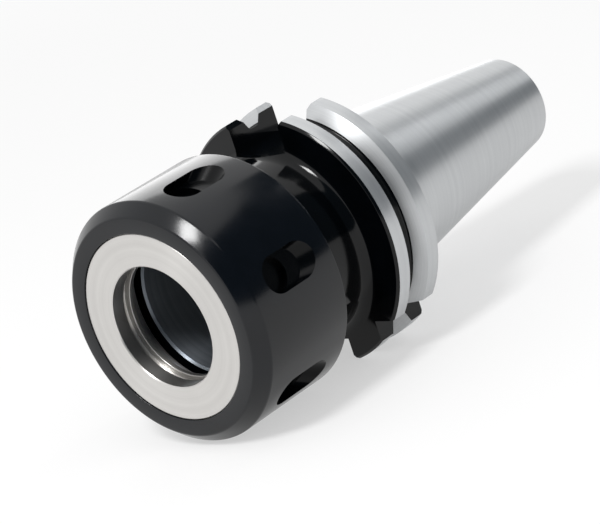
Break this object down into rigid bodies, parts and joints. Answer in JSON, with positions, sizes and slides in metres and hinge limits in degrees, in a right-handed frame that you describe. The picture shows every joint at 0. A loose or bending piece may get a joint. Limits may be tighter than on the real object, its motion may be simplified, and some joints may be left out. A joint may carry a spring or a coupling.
{
  "type": "collet chuck holder",
  "caption": "Steep-taper collet chuck holder with a V-grooved flange, drive slots and a ball-bearing clamping nut with spanner recesses.",
  "frame": {"origin": "centre of the taper's gauge plane, on the tool axis", "axes": "+Y along the tool axis towards the pull-stud end, -Y out of the nut; drive slots on +Z and -Z"},
  "size_m": [0.0636, 0.1342, 0.0608],
  "materials": {
    "holder_steel": "ground taper and rim, black oxide elsewhere",
    "nut_steel": "satin black oxide",
    "ring_steel": "fine ground",
    "ball_steel": "polished"
  },
  "bodies": {
    "holder": {"holder_body": "holder_steel"},
    "ring": {"thrust_ring": "ring_steel"},
    "nut": {"clamping_nut": "nut_steel", "ball_fill_plug": "nut_steel"},
    "ball_set": {"bearing_ball_01": "ball_steel", "bearing_ball_02": "ball_steel", "bearing_ball_03": "ball_steel", "bearing_ball_04": "ball_steel", "bearing_ball_05": "ball_steel", "bearing_ball_06": "ball_steel", "bearing_ball_07": "ball_steel", "bearing_ball_08": "ball_steel", "bearing_ball_09": "ball_steel", "bearing_ball_10": "ball_steel", "bearing_ball_11": "ball_steel", "bearing_ball_12": "ball_steel", "bearing_ball_13": "ball_steel", "bearing_ball_14": "ball_steel", "bearing_ball_15": "ball_steel", "bearing_ball_16": "ball_steel", "bearing_ball_17": "ball_steel", "bearing_ball_18": "ball_steel", "bearing_ball_19": "ball_steel", "bearing_ball_20": "ball_steel", "bearing_ball_21": "ball_steel", "bearing_ball_22": "ball_steel", "bearing_ball_23": "ball_steel", "bearing_ball_24": "ball_steel", "bearing_ball_25": "ball_steel", "bearing_ball_26": "ball_steel", "bearing_ball_27": "ball_steel", "bearing_ball_28": "ball_steel", "bearing_ball_29": "ball_steel", "bearing_ball_30": "ball_steel", "bearing_ball_31": "ball_steel", "bearing_ball_32": "ball_steel", "bearing_ball_33": "ball_steel", "bearing_ball_34": "ball_steel"}
  },
  "joints": [
    {"name": "ring_advance", "type": "slide", "parent": "holder", "child": "ring", "axis": [0, 1, 0], "range_m": [-0.014, 0.001]},
    {"name": "nut_turn", "type": "hinge", "parent": "ring", "child": "nut", "pos_m": [0, -0.0598, 0], "axis": [0, 1, 0], "range_deg": [-2520, 180]},
    {"name": "ball_orbit", "type": "hinge", "parent": "ring", "child": "ball_set", "pos_m": [0, -0.0598, 0], "axis": [0, 1, 0], "range_deg": [-1260, 90]}
  ],
  "couplings": [
    {"joint": "ring_advance", "follows": "nut_turn", "m_per_rad": 0.0003183},
    {"joint": "ball_orbit", "follows": "nut_turn", "ratio": 0.5}
  ]
}
